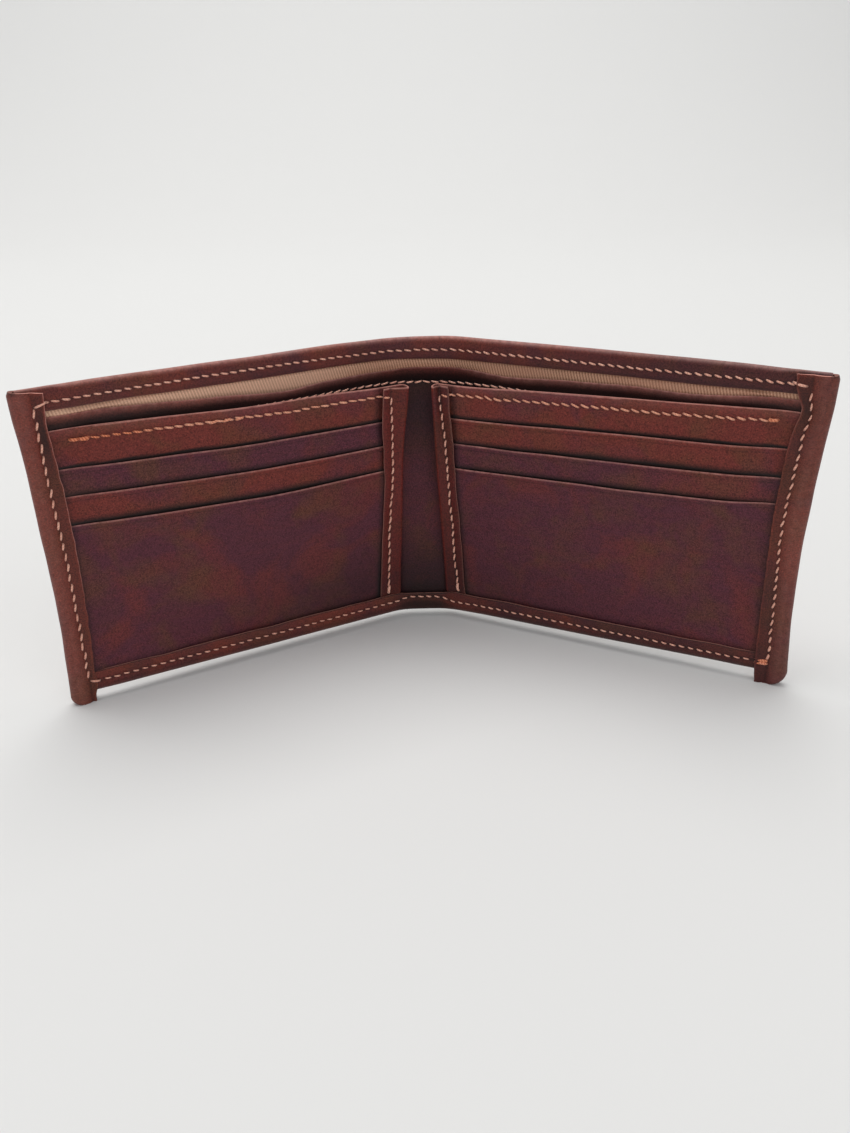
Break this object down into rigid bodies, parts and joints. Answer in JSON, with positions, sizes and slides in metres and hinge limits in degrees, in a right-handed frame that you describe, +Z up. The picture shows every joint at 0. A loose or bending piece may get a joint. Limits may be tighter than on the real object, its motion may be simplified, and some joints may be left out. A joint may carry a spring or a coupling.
{
  "type": "bifold wallet",
  "caption": "Leather bifold wallet standing open: two hinged halves with stepped card pockets, and a lined banknote compartment behind them.",
  "frame": {"origin": "centre of the bounding box at the level of the feet (z = 0, the lower ends of the two side flaps), wallet standing open", "axes": "+X to the user's right along the open wallet, +Y to the rear (towards the outside of the spine), +Z up"},
  "size_m": [0.2096, 0.0572, 0.0887],
  "materials": {
    "cover_leather": "waxed, semi-matte, mottled oxblood brown",
    "inner_leather": "fine-grained semi-matte, reddish brown",
    "divider_leather": "matte, raw cut edges",
    "lining_cloth": "ribbed golden-tan weave",
    "thread_tan": "waxed salmon-tan sewing thread",
    "thread_orange": "waxed orange-tan sewing thread"
  },
  "bodies": {
    "spine": {"cover_spine": "cover_leather", "lining_spine": "lining_cloth", "divider_spine": "divider_leather", "inner_wall_spine": "inner_leather", "thread_top_hem_spine": "thread_tan", "thread_bottom_hem_spine": "thread_tan", "thread_inner_wall_spine": "thread_tan"},
    "left_half": {"cover_left": "cover_leather", "lining_left": "lining_cloth", "divider_left": "divider_leather", "inner_wall_left": "inner_leather", "card_backing_left": "inner_leather", "card_pocket_upper_left": "inner_leather", "card_pocket_middle_left": "inner_leather", "card_pocket_lower_left": "inner_leather", "thread_top_hem_left": "thread_tan", "thread_side_flap_left": "thread_tan", "thread_bottom_hem_left": "thread_tan", "thread_inner_wall_left": "thread_tan", "thread_card_top_left": "thread_orange", "thread_strip_left": "thread_tan"},
    "right_half": {"cover_right": "cover_leather", "lining_right": "lining_cloth", "divider_right": "divider_leather", "inner_wall_right": "inner_leather", "card_backing_right": "inner_leather", "card_pocket_upper_right": "inner_leather", "card_pocket_middle_right": "inner_leather", "card_pocket_lower_right": "inner_leather", "thread_top_hem_right": "thread_tan", "thread_side_flap_right": "thread_tan", "thread_bottom_hem_right": "thread_tan", "thread_inner_wall_right": "thread_tan", "thread_card_top_right": "thread_orange", "thread_strip_right": "thread_tan"}
  },
  "joints": [
    {"name": "left_fold", "type": "hinge", "parent": "spine", "child": "left_half", "pos_m": [-0.0095, 0.02806, 0], "axis": [0, 0, 1], "range_deg": [-27.3, 62.7]},
    {"name": "right_fold", "type": "hinge", "parent": "spine", "child": "right_half", "pos_m": [0.0095, 0.02806, 0], "axis": [0, 0, -1], "range_deg": [-27.3, 62.7]}
  ],
  "couplings": [
    {"joint": "right_fold", "follows": "left_fold", "ratio": 1}
  ]
}
